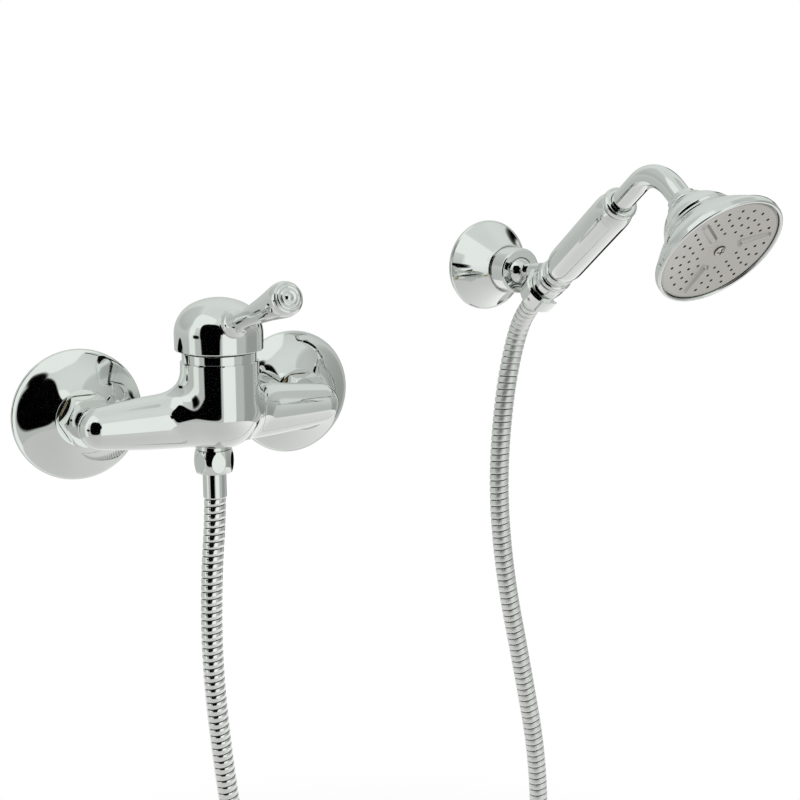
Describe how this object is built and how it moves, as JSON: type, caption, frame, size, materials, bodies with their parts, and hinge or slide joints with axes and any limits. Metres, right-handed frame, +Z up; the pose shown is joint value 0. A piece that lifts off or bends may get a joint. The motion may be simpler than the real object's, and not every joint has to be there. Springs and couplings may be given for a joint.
{
  "type": "vintage shower tap",
  "caption": "Exposed wall shower mixer with a domed lever cap, two wall inlets, and a bell-headed hand shower in a wall cradle on a ribbed metal hose.",
  "frame": {"origin": "on the wall face, midway between the two inlets", "axes": "+X to the user's right along the wall, +Y into the wall, +Z up"},
  "size_m": [0.3886, 0.3082, 0.8368],
  "materials": {
    "chrome": "mirror polished plating on brass",
    "hose_metal": "polished wound strip",
    "satin_steel": "satin",
    "steel": "plain zinc-bright",
    "brass": "machined, unplated",
    "rubber": "matt",
    "ceramic": "lapped ceramic",
    "cartridge_plastic": "moulded",
    "nylon": "moulded"
  },
  "bodies": {
    "mixer": {"mixer_body": "chrome", "neck_ring": "chrome", "cartridge_housing": "cartridge_plastic", "cartridge_nut": "brass", "port_seal": "rubber", "fixed_disc": "ceramic", "left_rosette": "chrome", "left_wall_union": "brass", "left_union_nut": "chrome", "left_filter_washer": "rubber", "right_rosette": "chrome", "right_wall_union": "brass", "right_union_nut": "chrome", "right_filter_washer": "rubber", "outlet_nipple": "brass", "check_valve": "cartridge_plastic", "hose_nut": "chrome", "hose_washer": "rubber", "hose_ferrule": "chrome", "shower_hose": "hose_metal", "bracket_plate": "steel", "left_bracket_screw": "steel", "right_bracket_screw": "steel", "bracket_cone": "chrome", "bracket_collar": "chrome", "collar_screw": "steel", "ball_seat": "nylon"},
    "swivel": {"swivel_carrier": "cartridge_plastic", "pivot_pin": "steel"},
    "lever": {"lever_cap": "chrome", "lever_arm": "chrome", "lever_grub_screw": "steel", "spindle": "brass"},
    "disc": {"moving_disc": "ceramic", "drive_plate": "cartridge_plastic"},
    "arm": {"ball_rod": "chrome", "lock_nut": "chrome", "cradle": "chrome", "cradle_screw": "steel"},
    "hose_end": {"cone_nut": "chrome", "cone_washer": "rubber", "hose_tail": "brass"},
    "handset": {"handset_inlet": "chrome", "lower_bead": "chrome", "handle_sleeve": "chrome", "upper_bead": "chrome", "bent_arm": "chrome", "head_nut": "chrome", "bell_head": "chrome", "face_seal": "rubber", "face_plate": "satin_steel", "water_spreader": "cartridge_plastic", "face_screw": "steel"}
  },
  "joints": [
    {"name": "temperature_turn", "type": "hinge", "parent": "mixer", "child": "swivel", "pos_m": [0, -0.058, 0.032], "axis": [0, 0, 1], "range_deg": [-50, 50]},
    {"name": "lever_lift", "type": "hinge", "parent": "swivel", "child": "lever", "pos_m": [0, -0.058, 0.032], "axis": [-1, 0, 0], "range_deg": [0, 25]},
    {"name": "disc_slide", "type": "slide", "parent": "swivel", "child": "disc", "axis": [0, -1, 0], "range_m": [0, 0.004]},
    {"name": "bracket_tilt", "type": "hinge", "parent": "mixer", "child": "arm", "pos_m": [0.236, -0.04, 0.079], "axis": [-1, 0, 0], "range_deg": [-15, 15], "deforming": ["shower_hose"]},
    {"name": "handset_lift", "type": "slide", "parent": "arm", "child": "hose_end", "axis": [-0.1322, -0.8349, 0.5344], "range_m": [0, 0.018], "deforming": ["shower_hose"]},
    {"name": "handset_turn", "type": "hinge", "parent": "hose_end", "child": "handset", "pos_m": [0.2345, -0.0935, 0.0843], "axis": [-0.1322, -0.8349, 0.5344], "range_deg": [-60, 60]}
  ],
  "couplings": [
    {"joint": "disc_slide", "follows": "lever_lift", "m_per_rad": 0.009}
  ]
}
